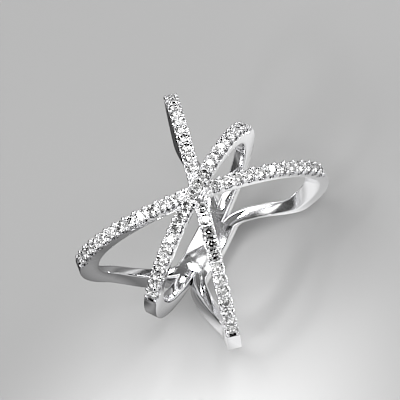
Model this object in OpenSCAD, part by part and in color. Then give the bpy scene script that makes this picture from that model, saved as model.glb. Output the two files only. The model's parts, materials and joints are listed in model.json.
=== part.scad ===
// Criss-cross ring: three narrow bands that cross at the front, each set with one row of small
// round stones, and run together into one plain shank at the back. The outer bands are flat hoops
// that lean to either side, so their faces stay square to their own hoop and not to the hole.
// Modelled as it lies by itself on a table: tipped back on the shank and on the two outer bands.

/* [Hole] */
// Diameter of the hole
hole_d = 17.3; // [15:0.1:21]
// Thickness of the metal where the outer bands cross at the front
wall = 1.6; // [1.4:0.05:1.8]

/* [Bands] */
// Width of each band
band_w = 1.36; // [1.3:0.02:1.6]
// How far the outer bands stand from the plane through the crossing at the sides of the ring
spread = 8.75; // [8:0.05:9.5]
// How far out from the middle of the hole the middle of their faces reaches there
side_r = 9.8; // [9.5:0.05:10.2]
// How much higher the middle band stands at the crossing
middle_rise = 0.25; // [0.1:0.01:0.3]
// How far the middle band lies off the point where the outer bands cross
middle_off = 0.3; // [0:0.05:0.35]
// Where the outer bands begin to bend in to the shank, in degrees from the front
bend_start = 125; // [120:1:130]
// Where the outer bands lie beside the middle one, in degrees from the front
bend_end = 160; // [156:1:164]
// Half the width of the plain shank
shank_half_w = 1.7; // [1.5:0.02:1.8]

/* [Stones] */
// Diameter of each stone
stone_d = 1.1; // [0.9:0.02:1.1]
// Distance from one stone to the next
pitch = 1.22; // [1.22:0.01:1.3]
// Stones on each side of the crossing in the middle row, whose centre lies between two stones
middle_half_count = 11; // [8:1:12]
// Stones on each side of the crossing in an outer row
side_half_count = 12; // [8:1:12]
// Distance along an outer band from the crossing to its first stone, where the middle band is far
first_far = 1.75; // [1.7:0.05:2]
// The same where the middle band is near
first_near = 2.5; // [2.5:0.05:2.9]
// How far the girdle of a stone lies below the top of the metal
girdle_sink = 0.05; // [0.02:0.01:0.1]

/* [Hidden] */

RISING = 1;    // the band that goes up from left to right, seen from the front
FALLING = -1;  // the band that goes down from left to right
RAD = 180 / PI;

hole_r = hole_d / 2;
outer_r = hole_r + wall;
shank_r = outer_r + 0.25;
round_fn = 180;
section_step = 4;       // degrees between two sections of an outer band
band_reach = 172;       // angle at which the outer bands end, inside the shank
side_depth = 2.4;       // depth of an outer band before the hole is cut through it
shank_lip = 0.04;       // how far the shank's sides stand past the outer bands that run into it
middle_drop = 0.05;     // how much lower than the shank the middle band lies at the back

// A stone: table, crown, girdle and pavilion, with eight sides
stone_sides = 8;
stone_r = stone_d / 2;
table_r = 0.58 * stone_r;
crown_h = 0.3 * stone_r;
girdle_h = 0.06 * stone_r;
pavilion_h = 0.78 * stone_r;

// Its seat in the metal, wide enough to open a notch in both sides of the band
seat_r = 0.705;
seat_depth = girdle_sink + girdle_h + pavilion_h + 0.05;
seat_fn = 24;

// Height of an outer band above the plane through the crossing, by the angle from the front.
// Over the front and the sides it is a flat hoop. At the back it bends in beside the middle band.
side_gap = shank_half_w - shank_lip - band_w / 2;
hoop_lean = atan(spread / side_r);
bend = bend_end - bend_start;
function bend_share(t) = max(0, min(1, (abs(t) - bend_start) / bend));
function ease(u) = u * u * (3 - 2 * u);
function climb(t) =
    let (u = bend_share(t), slope = spread * cos(bend_start) * bend / RAD)
    (t < 0 ? -1 : 1) * (u == 0 ? spread * sin(abs(t)) :
        spread * sin(bend_start) * (1 + 2 * u) * pow(1 - u, 2) + slope * u * pow(1 - u, 2)
        + side_gap * ease(u));

// The middle line of an outer band's face. At the back it widens to the roundness of the shank.
function widened(t, r) = r + (shank_r - r) * ease(bend_share(t));
function side_point(t, way) =
    [-widened(t, side_r) * sin(t), -widened(t, outer_r) * cos(t), -way * climb(t)];

// The directions of an outer band: along it, across its face and out of it
function unit(v) = v / norm(v);
function along(t, way) = unit(side_point(t + 0.1, way) - side_point(t - 0.1, way));
function across(t, way) =
    let (tilt = hoop_lean * (1 - ease(bend_share(t))), rough = [-way * sin(tilt), 0, cos(tilt)],
         line = along(t, way))
    unit(rough - (rough * line) * line);
function outward(t, way) = cross(across(t, way), along(t, way));

// Outside of the middle band: a circle moved forward, so that the band stands higher at the crossing
middle_front = outer_r + middle_rise;
middle_back = shank_r - middle_drop;
middle_shift = (middle_front - middle_back) / 2;
middle_r = (middle_front + middle_back) / 2;
function middle_top(t) = middle_shift * cos(t) + sqrt(pow(middle_r, 2) - pow(middle_shift * sin(t), 2));

// Angles of the stones: along the middle band by equal turns, and along an outer band step by step
middle_angles = [for (i = [-middle_half_count:middle_half_count - 1]) (i + 0.5) * pitch / middle_r * RAD];
function speed(t) = norm(side_point(t + 0.1, 1) - side_point(t - 0.1, 1)) / 0.2;
function step_on(t, distance) =
    let (half = t + distance / 2 / speed(t))
    t + distance / speed(half);
function row_angles(t, left) = left == 0 ? [] : concat([t], row_angles(step_on(t, pitch), left - 1));
near_half = row_angles(step_on(0, first_near), side_half_count);
far_half = row_angles(step_on(0, first_far), side_half_count);
// The middle band lies above the crossing, so the half of an outer band that goes up has it near
function side_angles(way) = concat([for (t = way == RISING ? near_half : far_half) -t],
                                   way == RISING ? far_half : near_half);

// Lying on a table: the lean at which the side bands and the back of the shank touch it together.
// The lowest reach of each, below the centre of the ring, is compared, and the lean found by halving.
low_angles = [for (t = [60:1:175]) t];
low_edge = [for (t = low_angles) side_point(t, 1) - band_w / 2 * across(t, 1)];
function side_reach(lean) = max([for (p = low_edge) p[1] * sin(lean) - p[2] * cos(lean)]);
function back_reach(lean) = shank_half_w * cos(lean) + shank_r * sin(lean);
function level_lean(low, high, rounds) =
    let (mid = (low + high) / 2)
    rounds == 0 ? mid :
    side_reach(mid) > back_reach(mid) ? level_lean(mid, high, rounds - 1) : level_lean(low, mid, rounds - 1);
lean = level_lean(35, 80, 24);
lift = max(side_reach(lean), back_reach(lean));

// Front-to-back reach of the lying ring, so that it stands over the middle of its footprint.
// The upper edges reach furthest back and the lower edges furthest forward.
up_edge = [for (t = [0:1:175]) side_point(t, -1) + band_w / 2 * across(t, -1)];
down_edge = [for (t = [0:1:175]) side_point(t, 1) - band_w / 2 * across(t, 1)];
function depth(p) = p[1] * cos(lean) + p[2] * sin(lean);
reach_back = max(concat([for (p = up_edge) depth(p)],
                        [shank_half_w * sin(lean) + shank_r * cos(lean)]));
reach_front = max(concat([for (p = down_edge) -depth(p)],
                         [(band_w / 2 - middle_off) * sin(lean) + middle_top(0) * cos(lean)]));

module lying() {
    translate([0, (reach_front - reach_back) / 2, lift])
        rotate([-lean, 0, 0])
            children();
}

// Puts a child on the outside of the middle band, facing outwards
module on_middle(t) {
    translate([0, 0, middle_off])
        rotate([0, 0, -t])
            translate([0, -middle_top(t), 0])
                rotate([90, 0, 0])
                    children();
}

// Puts a child on an outer band, square to its face
module on_side(t, way) {
    x = along(t, way);
    y = across(t, way);
    z = outward(t, way);
    p = side_point(t, way);
    multmatrix([[x[0], -y[0], z[0], p[0]], [x[1], -y[1], z[1], p[1]], [x[2], -y[2], z[2], p[2]], [0, 0, 0, 1]])
        children();
}

module cut_stone() {
    corner = 360 / stone_sides;
    ring = [for (i = [0:stone_sides - 1]) [cos(i * corner), sin(i * corner)]];
    points = concat(
        [for (p = ring) [table_r * p[0], table_r * p[1], crown_h]],
        [for (p = ring) [stone_r * p[0], stone_r * p[1], 0]],
        [for (p = ring) [stone_r * p[0], stone_r * p[1], -girdle_h]],
        [[0, 0, -girdle_h - pavilion_h]]);
    tip = 3 * stone_sides;
    facets = concat(
        [[for (i = [stone_sides - 1:-1:0]) i]],
        [for (level = [0, 1]) for (i = [0:stone_sides - 1])
            let (j = (i + 1) % stone_sides, a = level * stone_sides, b = a + stone_sides)
            [a + i, a + j, b + j, b + i]],
        [for (i = [0:stone_sides - 1]) [2 * stone_sides + i, 2 * stone_sides + (i + 1) % stone_sides, tip]]);
    translate([0, 0, -girdle_sink])
        polyhedron(points, facets);
}

module stone_seat() {
    translate([0, 0, -seat_depth])
        cylinder(r = seat_r, h = seat_depth + 1, $fn = seat_fn);
}

// An outer band before the hole is cut: a square section swept along its middle line
module side_hoop(way) {
    angles = [for (t = [-band_reach:section_step:band_reach + 1]) min(t, band_reach)];
    points = [for (t = angles) for (corner = [[1, -1], [0, -1], [0, 1], [1, 1]])
        side_point(t, way) - corner[0] * side_depth * outward(t, way) + corner[1] * band_w / 2 * across(t, way)];
    last = len(angles) - 1;
    walls = [for (i = [0:last - 1]) for (k = [0:3])
        let (a = 4 * i + k, b = 4 * i + (k + 1) % 4, c = b + 4, d = a + 4)
        each [[a, c, b], [a, d, c]]];
    ends = [[0, 1, 2, 3], [for (k = [3:-1:0]) 4 * last + k]];
    polyhedron(points, concat(walls, ends), convexity = 6);
}

// The hoop with the seats of its own stones
module side_band(way) {
    difference() {
        side_hoop(way);
        for (t = side_angles(way))
            on_side(t, way)
                stone_seat();
    }
}

// The plain shank, as long as the stretch on which the bands lie side by side
module shank() {
    half_length = shank_r * sin(bend_end);
    intersection() {
        cylinder(r = shank_r, h = 2 * shank_half_w, center = true, $fn = round_fn);
        translate([-half_length, 0, -shank_half_w])
            cube([2 * half_length, shank_r + 1, 2 * shank_half_w]);
    }
}

module silver_band() {
    color("Silver")
        lying()
            difference() {
                union() {
                    side_band(RISING);
                    side_band(FALLING);
                    shank();
                    translate([0, -middle_shift, middle_off])
                        cylinder(r = middle_r, h = band_w, center = true, $fn = round_fn);
                }
                cylinder(r = hole_r, h = 6 * spread, center = true, $fn = round_fn);
                for (t = middle_angles)
                    on_middle(t)
                        stone_seat();
            }
}

module middle_stones() {
    color("AliceBlue")
        lying()
            for (t = middle_angles)
                on_middle(t)
                    cut_stone();
}

module side_stones(way) {
    color("AliceBlue")
        lying()
            for (t = side_angles(way))
                on_side(t, way)
                    cut_stone();
}

silver_band();
middle_stones();
side_stones(RISING);  // rising_stones
side_stones(FALLING);  // falling_stones
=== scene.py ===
# %% [markdown]
# # A silver criss-cross ring, row by row
# Three narrow bands cross at the front of this ring, each with one row of small round stones, and
# run together into one plain shank at the back. The real one is cast in one go, then a
# setter cuts a notch under every stone and pushes small beads of metal over the stone's edge.
# This lesson follows that order: a straight strip is cut and beaded first, where every stone is
# alike, then bent along its band, and the three bands are joined into one body of silver.

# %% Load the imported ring
import bisect
import json
import math
import random

import bmesh
import bpy
from mathutils import Matrix, Vector
from mathutils.kdtree import KDTree


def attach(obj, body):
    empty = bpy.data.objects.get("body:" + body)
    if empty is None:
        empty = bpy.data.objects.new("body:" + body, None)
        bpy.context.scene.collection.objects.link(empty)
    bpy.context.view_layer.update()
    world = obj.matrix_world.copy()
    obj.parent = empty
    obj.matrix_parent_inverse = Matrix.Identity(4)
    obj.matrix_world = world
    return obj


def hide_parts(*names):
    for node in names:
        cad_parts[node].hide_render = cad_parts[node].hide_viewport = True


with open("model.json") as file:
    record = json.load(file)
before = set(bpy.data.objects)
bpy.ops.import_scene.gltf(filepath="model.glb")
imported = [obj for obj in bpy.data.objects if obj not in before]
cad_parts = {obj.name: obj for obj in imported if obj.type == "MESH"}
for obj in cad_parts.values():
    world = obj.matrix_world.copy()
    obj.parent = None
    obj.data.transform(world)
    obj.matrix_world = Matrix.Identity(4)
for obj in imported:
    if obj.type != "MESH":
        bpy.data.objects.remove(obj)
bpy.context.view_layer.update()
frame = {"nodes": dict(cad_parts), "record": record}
scene = bpy.context.scene
print("nodes:", sorted(frame["nodes"]))

# %% [markdown]
# ## The ring's own frame
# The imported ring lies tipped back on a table, in metres. Bending a strip is far easier in the
# ring's own frame: millimetres, the hole along Z and the crossing at -Y. The hole is a mount in
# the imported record, so its place, direction and radius come from there, and one matrix at the
# end takes each finished mesh back to the table.

# %% Work out the ring's own frame
MM = 0.001
hole = next(mount for mount in frame["record"]["mounts"] if mount["name"] == "finger_bore")
hole_axis = Vector(hole["axis"])
ring_centre = Vector(hole["pos_m"])
hole_r = hole["dims"]["r_mm"]
lean = math.atan2(hole_axis.y, hole_axis.z)
to_table = Matrix.Translation(ring_centre) @ Matrix.Rotation(-lean, 4, "X") @ Matrix.Scale(MM, 4)
print(f"hole {2 * hole_r:.1f} mm, leaning {math.degrees(lean):.1f} degrees")

# %% [markdown]
# ## The paths of the bands
# The middle band is a hoop round the hole. Each outer band is a flat hoop that leans to one side
# and keeps its faces square to itself; at the back it bends in beside the middle one. These are
# the same driving sizes as in the part's source, in millimetres and degrees from the front.

# %% Sizes of the bands
WALL = 1.6             # from the hole to the outside, at the crossing
BAND_W = 1.36          # width of a band
SPREAD = 8.75          # how far an outer band stands from the plane through the crossing
SIDE_R = 9.8           # how far out from the middle of the hole it reaches at the sides
MIDDLE_RISE = 0.25     # how much higher the middle band stands at the crossing
MIDDLE_OFF = 0.3       # how far it lies off the point where the outer bands cross
MIDDLE_DROP = 0.05     # how much lower than the shank it lies at the back
BEND_START = 125       # where the outer bands begin to bend in
BEND_END = 160         # where they lie beside the middle one
SHANK_HALF_W = 1.7
SHANK_LIP = 0.04
outer_r = hole_r + WALL
shank_r = outer_r + 0.25
side_gap = SHANK_HALF_W - SHANK_LIP - BAND_W / 2
hoop_lean = math.atan2(SPREAD, SIDE_R)


def bent_in(t):
    """How far an outer band has bent in beside the middle one: 0 to 1."""
    return min(max((abs(t) - BEND_START) / (BEND_END - BEND_START), 0), 1)


def eased(u):
    return u * u * (3 - 2 * u)


def climb(t):
    """Height of an outer band, t degrees from the front."""
    u = bent_in(t)
    if u == 0:
        return SPREAD * math.sin(math.radians(t))
    start = math.radians(BEND_START)
    slope = SPREAD * math.cos(start) * math.radians(BEND_END - BEND_START)
    height = (SPREAD * math.sin(start) * (1 + 2 * u) + slope * u) * (1 - u) ** 2 + side_gap * eased(u)
    return math.copysign(height, t)


def side_point(t, way):
    """A point on the middle line of an outer band's face. Positive angles lie to the left."""
    turn = math.radians(t)
    share = eased(bent_in(t))
    wide = SIDE_R + (shank_r - SIDE_R) * share
    deep = outer_r + (shank_r - outer_r) * share
    return Vector((-wide * math.sin(turn), -deep * math.cos(turn), -way * climb(t)))


def side_frame(t, way):
    """Directions across an outer band's face and out of it."""
    near = 0.1
    along = (side_point(t + near, way) - side_point(t - near, way)).normalized()
    tilt = hoop_lean * (1 - eased(bent_in(t)))
    across = Vector((-way * math.sin(tilt), 0, math.cos(tilt)))
    across = (across - across.dot(along) * along).normalized()
    return across, across.cross(along)


# %% [markdown]
# A strip has to know which angle a distance along it reaches. The path has no simple formula for
# that, so it is walked once in small steps, and each later question is a look-up in that table.

# %% Walk an outer band's path
STEP = 0.25
walk_angles = [i * STEP for i in range(int(180 / STEP) + 1)]
walk_lengths = [0.0]
for angle in walk_angles[1:]:
    walk_lengths.append(walk_lengths[-1] + (side_point(angle, 1) - side_point(angle - STEP, 1)).length)


def angle_at(length):
    """Angle from the front at a distance along an outer band."""
    i = min(max(bisect.bisect(walk_lengths, abs(length)), 1), len(walk_lengths) - 1)
    share = (abs(length) - walk_lengths[i - 1]) / (walk_lengths[i] - walk_lengths[i - 1])
    return math.copysign(walk_angles[i - 1] + share * STEP, length)


def length_at(angle):
    """Distance along an outer band at an angle from the front."""
    return walk_lengths[round(angle / STEP)]


def round_point(t, r, z):
    """A point at an angle from the front, a radius and a height; positive angles lie to the left."""
    return Vector((-r * math.sin(math.radians(t)), -r * math.cos(math.radians(t)), z))


middle_front = outer_r + MIDDLE_RISE
middle_back = shank_r - MIDDLE_DROP
middle_r = (middle_front + middle_back) / 2


def middle_top(t):
    """Radius of the middle band's outside: a circle moved forward."""
    turn = math.radians(t)
    shift = (middle_front - middle_back) / 2
    return shift * math.cos(turn) + math.sqrt(middle_r ** 2 - (shift * math.sin(turn)) ** 2)


SEAT_DEPTH = 0.7       # below this, a strip is stretched so that its underside meets the hole


def deepened(depth, to_hole):
    """Depth in the metal for a depth in the straight strip."""
    if depth < SEAT_DEPTH:
        return depth
    return SEAT_DEPTH + (depth - SEAT_DEPTH) * (to_hole - SEAT_DEPTH) / (WALL - SEAT_DEPTH)


def distance_to_hole(top, out):
    """Distance from a point on an outer band's face to the hole, straight down into the metal."""
    a = out.x ** 2 + out.y ** 2
    b = top.x * out.x + top.y * out.y
    c = top.x ** 2 + top.y ** 2 - hole_r ** 2
    return (b - math.sqrt(b * b - a * c)) / a


def on_outer_band(way):
    """Bends a strip: x runs along the band, y across it and z out of it. way is 1 or -1."""
    def bend(p):
        t = angle_at(p.x)
        across, out = side_frame(t, way)
        top = side_point(t, way) - p.y * across
        return top - deepened(-p.z, distance_to_hole(top, out)) * out
    return bend


def on_middle_band(p):
    """The same for the middle band."""
    t = math.degrees(p.x / middle_r)
    top = middle_top(t)
    return round_point(t, top - deepened(-p.z, top - hole_r), MIDDLE_OFF - p.y)


def on_shank(p):
    """The same for the plain shank, with the middle of the strip at the back."""
    r = hole_r + (p.z / WALL + 1) * (shank_r - hole_r)
    return round_point(180 + math.degrees(p.x / shank_r), r, -p.y)


print(f"an outer band is {2 * walk_lengths[-1]:.1f} mm round,",
      f"a plain hoop {2 * math.pi * outer_r:.1f} mm")

# %% [markdown]
# ## Where the stones sit
# The middle row runs past the crossing, which lies between two of its stones. The outer rows
# start a little way from it, because the middle band needs that room, and more so above it, where
# the middle band is near. A strip's stones are given by their distance along it.

# %% Places of the stones
PITCH = 1.22
MIDDLE_HALF_COUNT = 11
SIDE_HALF_COUNT = 12
FIRST_FAR = 1.75       # first stone of an outer row on its lower half
FIRST_NEAR = 2.5       # and on its upper half
STONE_R = 0.58
GIRDLE_SINK = 0.05
middle_stones = [(i + 0.5) * PITCH for i in range(-MIDDLE_HALF_COUNT, MIDDLE_HALF_COUNT)]
far_half = [FIRST_FAR + i * PITCH for i in range(SIDE_HALF_COUNT)]
near_half = [FIRST_NEAR + i * PITCH for i in range(SIDE_HALF_COUNT)]
rising_stones = [-x for x in reversed(near_half)] + far_half
falling_stones = [-x for x in reversed(far_half)] + near_half
print(len(middle_stones), "stones in the middle and", len(rising_stones), "in each outer row")

# %% [markdown]
# ## Joining and cutting
# Cutting a notch or melting on a bead is a boolean. Blender's Manifold solver is quick and keeps
# closed bodies closed, so every cutter below is closed too.

# %% Helpers for closed bodies


def as_object(shape, name):
    """Turns a bmesh into an object and frees it."""
    mesh = bpy.data.meshes.new(name)
    shape.to_mesh(mesh)
    shape.free()
    piece = bpy.data.objects.new(name, mesh)
    scene.collection.objects.link(piece)
    return piece


def combined(shape, other, how):
    """The union or the difference of two closed bodies, both given as bmeshes."""
    base = as_object(shape, "base")
    tool = as_object(other, "tool")
    step = base.modifiers.new("step", "BOOLEAN")
    step.solver = "MANIFOLD"
    step.operation = how
    step.object = tool
    seen = base.evaluated_get(bpy.context.evaluated_depsgraph_get())
    result = bmesh.new()
    result.from_mesh(seen.to_mesh())
    seen.to_mesh_clear()
    for used in (base, tool):
        mesh = used.data
        bpy.data.objects.remove(used)
        bpy.data.meshes.remove(mesh)
    return result


def box_body(low, high):
    """A closed box between two corners."""
    shape = bmesh.new()
    size = Vector(high) - Vector(low)
    middle = (Vector(high) + Vector(low)) / 2
    place = Matrix.Translation(middle) @ Matrix.Diagonal(size).to_4x4()
    bmesh.ops.create_cube(shape, size=1, matrix=place)
    return shape


def bent(shape, bend):
    """Moves every point of a straight strip to its place on the ring."""
    for vertex in shape.verts:
        vertex.co = bend(vertex.co)
    return shape


# %% [markdown]
# ## The plain strip
# A band is a long bar with crisp edges outside and soft, comfortable edges inside. It is a box
# whose long edges are bevelled, cut into short lengths so that it can bend. Where stones sit, its
# top lies lower, so that only the beads reach up to them. The setter ends the row with a fine
# groove, and the plain part past it starts with a raised lip: the dark line and the bright one at
# the end of each row.

# %% Make a plain strip
SECTION = 0.3          # length of one piece of a strip
OUTER_EDGE = 0.05      # rounding of the outside edges
INNER_EDGE = 0.22      # rounding of the inside edges
BED_DROP = 0.14        # how far the bed between the beads lies below the outside
ROW_MARGIN = 0.2       # from the last pair of beads to the groove
GROOVE = 0.1           # width of the groove
GROOVE_DEPTH = 0.32
LIP = 0.05             # how far the lip stands out
LIP_TOP = 0.16         # length of its flat top
LIP_LENGTH = 0.5       # distance over which it runs down again
SLOPE = 0.02           # length of the steep sides of the groove and the lip


def long_edges(shape, half_length):
    """Edges that run the whole length of a strip."""
    return [e for e in shape.edges if abs(e.verts[0].co.x - e.verts[1].co.x) > half_length]


def plain_strip(half_length, half_width, top_edge, low_edge):
    """A closed straight bar, rounded along its edges and cut into short lengths."""
    shape = box_body((-half_length, -half_width, -WALL), (half_length, half_width, 0))
    for upper, rounding, segments in ((True, top_edge, 2), (False, low_edge, 4)):
        edges = [e for e in long_edges(shape, half_length)
                 if (e.verts[0].co.z > -WALL / 2) == upper]
        bmesh.ops.bevel(shape, geom=edges, offset=rounding, offset_type="OFFSET",
                        segments=segments, profile=0.5, affect="EDGES", material=-1)
    cuts = int(2 * half_length / SECTION)
    bmesh.ops.subdivide_edges(shape, edges=long_edges(shape, half_length), cuts=cuts,
                              use_grid_fill=False)
    return shape


def sliced(shape, places):
    """Adds a loop across a strip at each place along it."""
    for x in places:
        bmesh.ops.bisect_plane(shape, geom=shape.verts[:] + shape.edges[:] + shape.faces[:],
                               plane_co=(x, 0, 0), plane_no=(1, 0, 0), dist=1e-5)
    return shape


def row_profile(row_end):
    """Heights of the top along a strip: pairs of a distance and a height, joined by straight runs."""
    groove = row_end + ROW_MARGIN
    lip = groove + GROOVE
    return [(groove - SLOPE, -BED_DROP), (groove, -GROOVE_DEPTH), (lip, -GROOVE_DEPTH),
            (lip + SLOPE, LIP), (lip + LIP_TOP, LIP), (lip + LIP_LENGTH, 0)]


def height_at(profile, x):
    """Height of a profile at a distance; level before its first point and after its last."""
    if x <= profile[0][0]:
        return profile[0][1]
    for (x0, z0), (x1, z1) in zip(profile, profile[1:]):
        if x <= x1:
            return z0 + (z1 - z0) * (x - x0) / (x1 - x0)
    return profile[-1][1]


def shaped_top(shape, profiles):
    """Gives each half of a strip's top the heights of its profile."""
    for vertex in shape.verts:
        if vertex.co.z > -WALL / 2:
            vertex.co.z += height_at(profiles[vertex.co.x > 0], abs(vertex.co.x))
    return shape


# %% [markdown]
# ## Notches, seats and beads
# Under every stone the setter cuts a U-shaped notch right across the band, and a cone that the
# stone's point drops into. What is left between two stones is a thin bridge with a small post at
# each end. The post's head is rounded into a bead that holds two stones at once. Where an outer
# band meets the middle one, the corner that stays open gets a bead and a smaller one of its own.
# The middle band stands off the crossing, so these move along with its side.

# %% Make the cutters and the beads
NOTCH_R = 0.4
NOTCH_DEPTH = 0.62
MOUTH_H = 1.0          # height of the box that opens a notch upwards
SEAT_TOP_R = 0.6
SEAT_LOW_R = 0.16
SEAT_TOP = -0.1
BEAD_R = 0.215
BEAD_OUT = 0.5         # distance of a bead from the middle of the band
BEAD_FLAT = 0.72       # height of a bead against its width
POST_SHARE = 0.86      # width of a post against its bead
CORNER_X = 0.89        # place of the corner bead, measured from the crossing
SMALL_X = 1.28         # and of the small one
SMALL_OUT = 0.12
SMALL_R = 0.16
CUT_EDGE = 0.018       # rounding of the edges that the cutter leaves
SHARP = math.radians(35)


def notches(stones):
    """U-shaped cutters that run across the band under each stone, closed over at the top."""
    shape = bmesh.new()
    across = Matrix.Rotation(math.pi / 2, 4, "X")
    for x in stones:
        place = Matrix.Translation((x, 0, NOTCH_R - NOTCH_DEPTH))
        bmesh.ops.create_cone(shape, cap_ends=True, segments=28, radius1=NOTCH_R, radius2=NOTCH_R,
                              depth=2 * BAND_W, matrix=place @ across)
    return shape


def notch_mouths(stones):
    """Boxes that open the notches upwards."""
    shape = bmesh.new()
    for x in stones:
        place = Matrix.Translation((x, 0, NOTCH_R - NOTCH_DEPTH + MOUTH_H / 2))
        size = Matrix.Diagonal((2 * NOTCH_R, 2 * BAND_W, MOUTH_H, 1))
        bmesh.ops.create_cube(shape, size=1, matrix=place @ size)
    return shape


def seats(stones):
    """Cones that the stones drop into."""
    shape = bmesh.new()
    for x in stones:
        middle = (SEAT_TOP - NOTCH_DEPTH) / 2
        bmesh.ops.create_cone(shape, cap_ends=True, segments=32, radius1=SEAT_LOW_R,
                              radius2=SEAT_TOP_R, depth=SEAT_TOP + NOTCH_DEPTH,
                              matrix=Matrix.Translation((x, 0, middle)))
    return shape


def bead_places(stones, way):
    """Place and radius of every bead: both sides of the band, at both ends of each stone."""
    along = sorted({round(x + side * PITCH / 2, 4) for x in stones for side in (-1, 1)})
    places = [(x, side * BEAD_OUT, BEAD_R) for x in along for side in (-1, 1)]
    aside = way * MIDDLE_OFF / math.sin(hoop_lean)
    for side in (-1, 1) if way else ():
        places.append((side * CORNER_X - aside, way * side * BEAD_OUT, BEAD_R))
        places.append((side * SMALL_X - aside, way * side * SMALL_OUT, SMALL_R))
    return places


def posts(places):
    shape = bmesh.new()
    for x, y, bead_r in places:
        r = bead_r * POST_SHARE
        bmesh.ops.create_cone(shape, cap_ends=True, segments=18, radius1=r, radius2=r,
                              depth=NOTCH_DEPTH,
                              matrix=Matrix.Translation((x, y, -NOTCH_DEPTH / 2)))
    return shape


def beads(places):
    shape = bmesh.new()
    for x, y, bead_r in places:
        place = Matrix.Translation((x, y, 0)) @ Matrix.Diagonal((1, 1, BEAD_FLAT, 1))
        bmesh.ops.create_uvsphere(shape, u_segments=18, v_segments=10, radius=bead_r, matrix=place)
    return shape


def set_strip(stones, half_length, way):
    """A straight strip with everything that a row of stones needs cut into it and beaded on."""
    shape = plain_strip(half_length, BAND_W / 2, OUTER_EDGE, INNER_EDGE)
    profiles = (row_profile(PITCH / 2 - stones[0]), row_profile(stones[-1] + PITCH / 2))
    steps = [-x for x, z in profiles[0]] + [x for x, z in profiles[1]]
    shape = shaped_top(sliced(shape, steps), profiles)
    for cutter in (notches(stones), notch_mouths(stones), seats(stones)):
        shape = combined(shape, cutter, "DIFFERENCE")
    edges = [e for e in shape.edges if len(e.link_faces) == 2 and e.calc_face_angle(0) > SHARP]
    bmesh.ops.bevel(shape, geom=edges, offset=CUT_EDGE, offset_type="OFFSET", segments=2,
                    profile=0.5, affect="EDGES", material=-1, clamp_overlap=True)
    places = bead_places(stones, way)
    for growth in (posts(places), beads(places)):
        shape = combined(shape, growth, "UNION")
    print(f"strip with {len(stones)} stones: {len(shape.faces)} faces")
    return shape


# %% [markdown]
# ## One body of silver
# The outer bands are the same strip bent two ways. Where they meet the middle band they are cut
# off just inside its sides, so that its row of stones runs through the crossing unharmed. The
# shank is a plain wide strip at the back, and a hair thicker than the bands, so that no
# two skins lie in the same place.

# %% Bend the strips and join them
BAND_REACH = 172       # angle at which the outer bands end, inside the shank
MIDDLE_REACH = 176     # and the middle band
CROSSING_REACH = 6.0   # half width of the block that clears the crossing
CLEAR_INSET = 0.03     # how far inside the middle band's sides the outer bands are cut off
SHANK_OVER = 0.02      # how much thicker than the bands the shank is on each side
clear_half_w = BAND_W / 2 - CLEAR_INSET


def silver_body():
    rising = bent(set_strip(rising_stones, length_at(BAND_REACH), 1), on_outer_band(1))
    falling = bent(set_strip(falling_stones, length_at(BAND_REACH), -1), on_outer_band(-1))
    body = combined(rising, falling, "UNION")
    clearing = box_body((-CROSSING_REACH, -outer_r - 1, MIDDLE_OFF - clear_half_w),
                        (CROSSING_REACH, -outer_r * math.cos(CROSSING_REACH / outer_r),
                         MIDDLE_OFF + clear_half_w))
    body = combined(body, clearing, "DIFFERENCE")
    half_middle = math.radians(MIDDLE_REACH) * middle_r
    middle = bent(set_strip(middle_stones, half_middle, 0), on_middle_band)
    body = combined(body, middle, "UNION")
    half_shank = math.radians(180 - BEND_END) * shank_r
    shank = plain_strip(half_shank, SHANK_HALF_W, INNER_EDGE / 2, INNER_EDGE)
    for vertex in shank.verts:
        vertex.co.z += math.copysign(SHANK_OVER, vertex.co.z + WALL / 2)
    return combined(body, bent(shank, on_shank), "UNION")


metal = as_object(silver_body(), "cast_silver")
metal.data.transform(to_table)
print(f"silver: {len(metal.data.polygons)} faces")

# %% [markdown]
# ## The stones
# Each stone is a small round brilliant: a table, eight star facets, eight kites and sixteen
# girdle facets on top, and eight mains with sixteen lower girdle facets below. Every facet is a
# plane, so the stone is the convex hull of its corners.

# %% Cut a brilliant
TABLE_SHARE = 0.57
STAR_SHARE = 0.78      # how far out the star facets' points lie
CROWN_H = 0.3          # heights are shares of the radius
STAR_H = 0.165
GIRDLE_H = 0.05
PAVILION_H = 0.84
MAIN_SHARE = 0.28      # where the lower girdle facets' points lie
MAIN_H = 0.66          # and how deep, as a share of the pavilion


def ring_of_corners(shape, count, radius, height, turned):
    """Adds corners in a circle, turned by a share of the gap between them."""
    circle = bmesh.ops.create_circle(shape, cap_ends=False, segments=count, radius=radius)
    place = Matrix.Translation((0, 0, height)) @ Matrix.Rotation(turned * 2 * math.pi / count, 4, "Z")
    bmesh.ops.transform(shape, matrix=place, verts=circle["verts"])


def brilliant():
    """A round brilliant whose girdle's upper edge is at height 0, facing up."""
    shape = bmesh.new()
    r = STONE_R
    ring_of_corners(shape, 8, TABLE_SHARE * r, CROWN_H * r, 0)
    ring_of_corners(shape, 8, STAR_SHARE * r, STAR_H * r, 0.5)
    ring_of_corners(shape, 16, r, 0, 0)
    ring_of_corners(shape, 16, r, -GIRDLE_H * r, 0)
    ring_of_corners(shape, 8, MAIN_SHARE * r, -(GIRDLE_H + MAIN_H * PAVILION_H) * r, 0.5)
    shape.verts.new((0, 0, -(GIRDLE_H + PAVILION_H) * r))
    bmesh.ops.delete(shape, geom=shape.edges[:], context="EDGES_FACES")
    hull = bmesh.ops.convex_hull(shape, input=shape.verts[:])
    loose = [v for v in hull["geom_interior"] if isinstance(v, bmesh.types.BMVert)]
    bmesh.ops.delete(shape, geom=loose, context="VERTS")
    bmesh.ops.dissolve_limit(shape, angle_limit=math.radians(2), verts=shape.verts[:],
                             edges=shape.edges[:])
    return shape


# %% [markdown]
# ## A row of stones
# No setter gets every stone perfectly level, and that is why some of them flash white while
# their neighbours stay dark. Each stone is turned freely and tipped by a degree or so.

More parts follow.
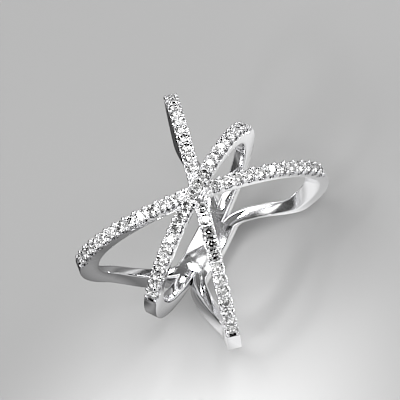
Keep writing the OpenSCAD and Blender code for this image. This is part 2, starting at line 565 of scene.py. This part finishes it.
# %% Set a row of stones
TIP = math.radians(1.6)
rng = random.Random(7)


def stone_frame(bend, x):
    """The place of a stone and its directions, measured on the bent strip."""
    reach = 0.05
    here = bend(Vector((x, 0, -GIRDLE_SINK)))
    along = (bend(Vector((x + reach, 0, 0))) - bend(Vector((x - reach, 0, 0)))).normalized()
    across = (bend(Vector((x, reach, 0))) - bend(Vector((x, -reach, 0)))).normalized()
    out = along.cross(across).normalized()
    across = out.cross(along)
    turned = Matrix((along, across, out)).transposed().to_4x4()
    return Matrix.Translation(here) @ turned


def stone_row(name, stones, bend):
    """One mesh with all the stones of a row."""
    row = bmesh.new()
    cut = bpy.data.meshes.new("cut")
    shape = brilliant()
    shape.to_mesh(cut)
    shape.free()
    for x in stones:
        tip = (Matrix.Rotation(rng.uniform(-TIP, TIP), 4, "X")
               @ Matrix.Rotation(rng.uniform(-TIP, TIP), 4, "Y"))
        spin = Matrix.Rotation(rng.uniform(0, math.pi / 4), 4, "Z")
        before = len(row.verts)
        row.from_mesh(cut)
        row.verts.ensure_lookup_table()
        bmesh.ops.transform(row, matrix=stone_frame(bend, x) @ tip @ spin, verts=row.verts[before:])
    bpy.data.meshes.remove(cut)
    bmesh.ops.transform(row, matrix=to_table, verts=row.verts[:])
    return as_object(row, name)


middle_row = stone_row("middle_brilliants", middle_stones, on_middle_band)
rising_row = stone_row("rising_brilliants", rising_stones, on_outer_band(1))
falling_row = stone_row("falling_brilliants", falling_stones, on_outer_band(-1))
print(f"a brilliant has {len(middle_row.data.polygons) // len(middle_stones)} facets")

# %% [markdown]
# ## The finish of the silver
# Polished and plated silver is a mirror with very fine wheel marks: long shallow scratches, and
# patches where the polish is a touch softer. Both come from noise on Object coordinates, so
# they keep their real size and stay put when the ring is seen from elsewhere.

# %% Build the polish as a node group
POLISH_SOCKETS = (("Scale", "INPUT"), ("Softest", "INPUT"), ("Brightest", "INPUT"),
                  ("Roughness", "OUTPUT"), ("Height", "OUTPUT"))
MARK_STRETCH = 0.12    # how finely the wheel marks change along Y against across it
PATCH_SHARE = 0.18     # how finely the soft patches change against the marks
NOISE_LOW = 0.12       # the two noises multiplied mostly lie between this
NOISE_HIGH = 0.4       # and this
MARK_STRENGTH = 0.25
COOL = 0.012           # how much bluer than grey the silver is


def linked(tree, kind, inputs=None, **settings):
    """Adds a node, sets its properties and feeds its inputs with values or sockets."""
    node = tree.nodes.new(kind)
    for key, value in settings.items():
        setattr(node, key, value)
    for key, value in (inputs or {}).items():
        if isinstance(value, bpy.types.NodeSocket):
            tree.links.new(value, node.inputs[key])
        else:
            node.inputs[key].default_value = value
    return node


def polish_group():
    group = bpy.data.node_groups.new("wheel_polish", "ShaderNodeTree")
    face = group.interface
    for name, way in POLISH_SOCKETS:
        face.new_socket(name=name, in_out=way, socket_type="NodeSocketFloat")
    given = group.nodes.new("NodeGroupInput")
    place = linked(group, "ShaderNodeTexCoord")
    stretched = linked(group, "ShaderNodeMapping",
                       {"Vector": place.outputs["Object"], "Scale": (1, MARK_STRETCH, 1)})
    marks = linked(group, "ShaderNodeTexNoise",
                   {"Vector": stretched.outputs[0], "Scale": given.outputs["Scale"],
                    "Detail": 4.0, "Roughness": 0.7})
    size = linked(group, "ShaderNodeMath", {0: given.outputs["Scale"], 1: PATCH_SHARE},
                  operation="MULTIPLY")
    patches = linked(group, "ShaderNodeTexNoise",
                     {"Vector": place.outputs["Object"], "Scale": size.outputs[0], "Detail": 2.0})
    mixed = linked(group, "ShaderNodeMath", {0: marks.outputs[0], 1: patches.outputs[0]},
                   operation="MULTIPLY")
    rough = linked(group, "ShaderNodeMapRange",
                   {"Value": mixed.outputs[0], "From Min": NOISE_LOW, "From Max": NOISE_HIGH,
                    "To Min": given.outputs["Brightest"], "To Max": given.outputs["Softest"]})
    out = group.nodes.new("NodeGroupOutput")
    group.links.new(rough.outputs[0], out.inputs["Roughness"])
    group.links.new(marks.outputs[0], out.inputs["Height"])
    return group


wheel_polish = polish_group()


def silver_finish(name, tone, scale, brightest, softest, depth):
    """A polished silver with its own tone and its own scale and strength of wheel marks."""
    material = bpy.data.materials.new(name)
    material.use_nodes = True
    tree = material.node_tree
    shader = tree.nodes["Principled BSDF"]
    shader.inputs["Metallic"].default_value = 1.0
    shader.inputs["Base Color"].default_value = (tone, tone, tone + COOL, 1)
    polish = linked(tree, "ShaderNodeGroup", node_tree=wheel_polish)
    polish.inputs["Scale"].default_value = scale
    polish.inputs["Brightest"].default_value = brightest
    polish.inputs["Softest"].default_value = softest
    bump = linked(tree, "ShaderNodeBump",
                  {"Height": polish.outputs["Height"], "Strength": MARK_STRENGTH, "Distance": depth})
    tree.links.new(polish.outputs["Roughness"], shader.inputs["Roughness"])
    tree.links.new(bump.outputs[0], shader.inputs["Normal"])
    return material


plain_silver = silver_finish("plain_silver", 0.84, 2200.0, 0.05, 0.17, 0.000004)
cut_silver = silver_finish("cut_silver", 0.86, 4000.0, 0.03, 0.12, 0.000002)

# %% [markdown]
# The stones are clear and colourless with a high index of refraction, which throws most of the
# light that enters the top back out of it. A faint cloud of noise in the colour keeps
# neighbouring stones from being exactly alike.

# %% Make the stone's material
INDEX = 2.16           # index of refraction
CLOUD_SCALE = 700.0
DULLEST = 0.94         # colour where the cloud is thickest


def clear_stone():
    material = bpy.data.materials.new("clear_stone")
    material.use_nodes = True
    tree = material.node_tree
    shader = tree.nodes["Principled BSDF"]
    shader.inputs["Roughness"].default_value = 0.0
    shader.inputs["IOR"].default_value = INDEX
    shader.inputs["Transmission Weight"].default_value = 1.0
    place = linked(tree, "ShaderNodeTexCoord")
    cloud = linked(tree, "ShaderNodeTexNoise",
                   {"Vector": place.outputs["Object"], "Scale": CLOUD_SCALE})
    tint = linked(tree, "ShaderNodeMapRange",
                  {"Value": cloud.outputs[0], "To Min": DULLEST, "To Max": 1.0})
    tree.links.new(tint.outputs[0], shader.inputs["Base Color"])
    return material


stone_finish = clear_stone()

# %% [markdown]
# The setter's tools reach only the stone-set side of the bands, so faces near a stone get the
# cut finish and all others the plain polish.

# %% Put the finishes on
metal.data.materials.append(plain_silver)
metal.data.materials.append(cut_silver)
CUT_REACH = 0.95       # how far from the middle of a stone the tools reach
rows = ((middle_stones, on_middle_band), (rising_stones, on_outer_band(1)),
        (falling_stones, on_outer_band(-1)))
stone_places = [bend(Vector((x, 0, 0))) for stones, bend in rows for x in stones]
nearest = KDTree(len(stone_places))
for number, place in enumerate(stone_places):
    nearest.insert(place, number)
nearest.balance()
from_table = to_table.inverted()
for face in metal.data.polygons:
    place, number, distance = nearest.find(from_table @ face.center)
    face.material_index = 1 if distance < CUT_REACH else 0
metal.data.shade_smooth()
metal.data.set_sharp_from_angle(angle=SHARP)
for row in (middle_row, rising_row, falling_row):
    row.data.materials.append(stone_finish)

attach(metal, "root")
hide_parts("silver_band")
for row, node in ((middle_row, "middle_stones"), (rising_row, "rising_stones"),
                  (falling_row, "falling_stones")):
    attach(row, "root")
    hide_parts(node)

# %% [markdown]
# ## The camera
# The camera looks nearly square at the crossing, a little from the left and from the low end of
# the hole, and it is rolled. It is a long lens from 40 cm, and 1 mm on the ring comes to about
# 10 pixels of the picture. It comes before the lights, because on mirror-bright metal a light is
# placed by what it will look like from here.

# %% Stand the camera
AZIMUTH = math.radians(14.6)      # towards the left side of the ring
LOW_TILT = math.radians(10.2)     # towards the low end of the hole
ROLL = math.radians(26.1)
DISTANCE = 0.4
PIXELS_PER_MM = 10.1
IMAGE = 400
CENTRE_PIXEL = (202.5, 221.8)
crossing = (to_table.to_3x3() @ Vector((0, -1, 0))).normalized()
low_end = -hole_axis.normalized()
far_side = crossing.cross(low_end)
towards = (math.sin(LOW_TILT) * low_end
           + math.cos(LOW_TILT) * (math.cos(AZIMUTH) * crossing - math.sin(AZIMUTH) * far_side))
low_on_image = (low_end - low_end.dot(towards) * towards).normalized()
side_on_image = towards.cross(low_on_image)
right = math.cos(ROLL) * low_on_image + math.sin(ROLL) * side_on_image
up = -math.sin(ROLL) * low_on_image + math.cos(ROLL) * side_on_image
off_centre = Vector((CENTRE_PIXEL[0] - IMAGE / 2, IMAGE / 2 - CENTRE_PIXEL[1])) / PIXELS_PER_MM * MM
aim = ring_centre - off_centre.x * right - off_centre.y * up
lens = bpy.data.cameras.new("camera")
lens.sensor_fit = "HORIZONTAL"
lens.sensor_width = 36
lens.lens = PIXELS_PER_MM / MM * DISTANCE / IMAGE * lens.sensor_width
lens.clip_start = 0.01
camera = bpy.data.objects.new("camera", lens)
scene.collection.objects.link(camera)
turned = Matrix((right, up, towards)).transposed().to_4x4()
camera.matrix_world = Matrix.Translation(aim + DISTANCE * towards) @ turned
scene.camera = camera
scene.view_settings.view_transform = "Standard"
print(f"camera looks down {math.degrees(math.asin(towards.z)):.0f} degrees")

# %% [markdown]
# ## The table
# The camera sees a plain pale table with a soft pool of light painted into its colour: paler in the
# middle, darker towards the rim. The silver mirrors the table too, and on a pale one it would all but
# vanish, which is why jewellery is shot with dark cards around it. Light Path tells the rays that come
# off the silver from those of the camera, so here the table carries a painted reflection of such
# cards: to the rays off the silver it glows in pale and dark stretches one after another, while the
# camera sees it plain.

# %% Lay the table
TABLE_HALF = 1.5
PAINTED_POOL = Vector((-0.024, -0.006, 0))      # middle of the painted pool of light
PAINTED_POOL_REACH = 0.034
PAINTED_POOL_TONES = ((0.0, 0.97), (1.0, 0.45))  # painted tones from its middle to its rim
PAINTED_REFLECTION_WAY = Vector((-0.35, 0.94, 0))  # direction in which the painted reflection of the table changes
PAINTED_REFLECTION_REACH = 0.025
PAINTED_REFLECTION_TONES = ((-0.025, 0.5), (-0.012, 0.5), (-0.006, 0.6), (-0.0036, 0.97), (-0.0015, 0.97),
                  (0.001, 0.6), (0.004, 0.85), (0.008, 0.3), (0.0125, 0.18), (0.015, 0.33),
                  (0.0165, 0.3), (0.0185, 0.2), (0.0205, 0.11), (0.025, 0.08))  # metres and tones of the painted reflection


def grey_ramp(tree, value, tones):
    """Turns a value into grey tones; tones are pairs of a value from 0 to 1 and a tone."""
    ramp = linked(tree, "ShaderNodeValToRGB", {0: value})
    stops = ramp.color_ramp.elements
    while len(stops) < len(tones):
        stops.new(0.5)
    for stop, (place, tone) in zip(stops, sorted(tones)):
        stop.position = place
    for stop, (place, tone) in zip(stops, sorted(tones)):
        stop.color = (tone, tone, tone, 1)
    return ramp


def table_material():
    material = bpy.data.materials.new("pale_table_painted_light")
    material.use_nodes = True
    tree = material.node_tree
    paper = tree.nodes["Principled BSDF"]
    paper.inputs["Roughness"].default_value = 0.7
    paper.inputs["Specular IOR Level"].default_value = 0.2
    place = linked(tree, "ShaderNodeTexCoord")
    # A pool of light painted into the base colour: paler near its middle, darker towards its rim.
    from_painted_pool = linked(tree, "ShaderNodeVectorMath", {0: place.outputs["Object"], 1: PAINTED_POOL},
                       operation="DISTANCE")
    share = linked(tree, "ShaderNodeMapRange",
                   {"Value": from_painted_pool.outputs["Value"], "From Max": PAINTED_POOL_REACH},
                   interpolation_type="SMOOTHSTEP")
    painted_pool_ramp = grey_ramp(tree, share.outputs[0], PAINTED_POOL_TONES)
    tree.links.new(painted_pool_ramp.outputs[0], paper.inputs["Base Color"])
    # A painted reflection: to rays off the silver the table glows in these listed pale and dark
    # stripes, standing in for dark cards that are not there.
    along = linked(tree, "ShaderNodeVectorMath", {0: place.outputs["Object"], 1: PAINTED_REFLECTION_WAY},
                   operation="DOT_PRODUCT")
    share = linked(tree, "ShaderNodeMapRange",
                   {"Value": along.outputs["Value"], "From Min": -PAINTED_REFLECTION_REACH,
                    "From Max": PAINTED_REFLECTION_REACH})
    tones = [((x + PAINTED_REFLECTION_REACH) / 2 / PAINTED_REFLECTION_REACH, tone) for x, tone in PAINTED_REFLECTION_TONES]
    painted_cards = grey_ramp(tree, share.outputs[0], tones)
    mirrored = linked(tree, "ShaderNodeEmission", {"Color": painted_cards.outputs[0]})
    path = linked(tree, "ShaderNodeLightPath")
    either = linked(tree, "ShaderNodeMixShader",
                    {0: path.outputs["Is Glossy Ray"], 1: paper.outputs[0], 2: mirrored.outputs[0]})
    tree.links.new(either.outputs[0], tree.nodes["Material Output"].inputs["Surface"])
    return material


table_shape = bmesh.new()
bmesh.ops.create_grid(table_shape, x_segments=1, y_segments=1, size=TABLE_HALF)
table = as_object(table_shape, "table")
table.data.materials.append(table_material())

# %% [markdown]
# ## The light
# Large soft panels stand all round the camera's side, so that the beads, the notches and the
# facets of the stones find something bright wherever they face. Between the panels the room is
# dim, and round the camera it is dark, which gives each stone its dark middle. A few small lamps
# make single stones flash: each stands where the flat top of one stone mirrors it to the camera.

# %% Light it
FAR = 0.5               # distance of the lights
CAMERA_GAP = 14         # degrees round the camera that stay dark
PANELS = (              # name, azimuth, height, width and height in degrees, and brightness
    ("over", 20, 80, 52, 38, 1.8),
    ("left", 165, 35, 44, 34, 1.8),
    ("right", -55, 32, 38, 42, 2.2),
    ("front", -125, 8, 64, 14, 1.7),
    ("low", -128, 22, 34, 18, 1.7),
    ("back", 50, 25, 46, 18, 1.4))
FLASHING = (            # which stones of each row flash
    (on_middle_band, middle_stones, (6, 8, 15)),
    (on_outer_band(1), rising_stones, (13,)),
    (on_outer_band(-1), falling_stones, (6, 15)))
FLASH_WIDE = 7.5        # width of such a lamp in degrees
FLASH_BRIGHTNESS = 13.0
ROOM_TONES = ((0.0, 0.06), (0.4, 0.11), (1.0, 0.24))    # from the level up to straight overhead


def softbox(name, direction, wide, high, brightness):
    """A panel that fills wide by high degrees, seen from the ring, in a direction from it."""
    data = bpy.data.lights.new(name, "AREA")
    data.shape = "RECTANGLE"
    data.size = 2 * FAR * math.tan(math.radians(wide / 2))
    data.size_y = 2 * FAR * math.tan(math.radians(high / 2))
    data.energy = brightness * math.pi * data.size * data.size_y
    lamp = bpy.data.objects.new(name, data)
    scene.collection.objects.link(lamp)
    lamp.location = ring_centre + FAR * direction.normalized()
    lamp.rotation_euler = direction.to_track_quat("Z", "Y").to_euler()
    return lamp


def around(azimuth, height):
    """A direction by its azimuth, from +X towards +Y, and its height, both in degrees."""
    a, h = math.radians(azimuth), math.radians(height)
    return Vector((math.cos(h) * math.cos(a), math.cos(h) * math.sin(a), math.sin(h)))


for name, azimuth, height, wide, high, brightness in PANELS:
    softbox(name, around(azimuth, height), wide, high, brightness)

for bend, stones, numbers in FLASHING:
    for number in numbers:
        top = to_table.to_3x3() @ stone_frame(bend, stones[number]).col[2].to_3d()
        top.normalize()
        mirrored = 2 * top.dot(towards) * top - towards
        softbox("flash", mirrored, FLASH_WIDE, FLASH_WIDE, FLASH_BRIGHTNESS)

world = bpy.data.worlds.new("dim_room")
scene.world = world
world.use_nodes = True
room = world.node_tree
direction = linked(room, "ShaderNodeTexCoord")
split = linked(room, "ShaderNodeSeparateXYZ", {0: direction.outputs["Generated"]})
walls = grey_ramp(room, split.outputs["Z"], ROOM_TONES)
beside = linked(room, "ShaderNodeVectorMath", {0: direction.outputs["Generated"], 1: towards},
                operation="DOT_PRODUCT")
gap = linked(room, "ShaderNodeMath",
             {0: beside.outputs["Value"], 1: math.cos(math.radians(CAMERA_GAP))},
             operation="LESS_THAN")
room.links.new(walls.outputs[0], room.nodes["Background"].inputs["Color"])
room.links.new(gap.outputs[0], room.nodes["Background"].inputs["Strength"])

# %% [markdown]
# ## The picture
# Photographs of jewellery are sharpened a touch, so the finished picture is too.

# %% Sharpen the picture
SHARPENING = 0.035
scene.use_nodes = True
darkroom = scene.node_tree
darkroom.nodes.clear()
taken = darkroom.nodes.new("CompositorNodeRLayers")
crisp = linked(darkroom, "CompositorNodeFilter",
               {"Fac": SHARPENING, "Image": taken.outputs["Image"]}, filter_type="SHARPEN")
linked(darkroom, "CompositorNodeComposite", {"Image": crisp.outputs["Image"]})
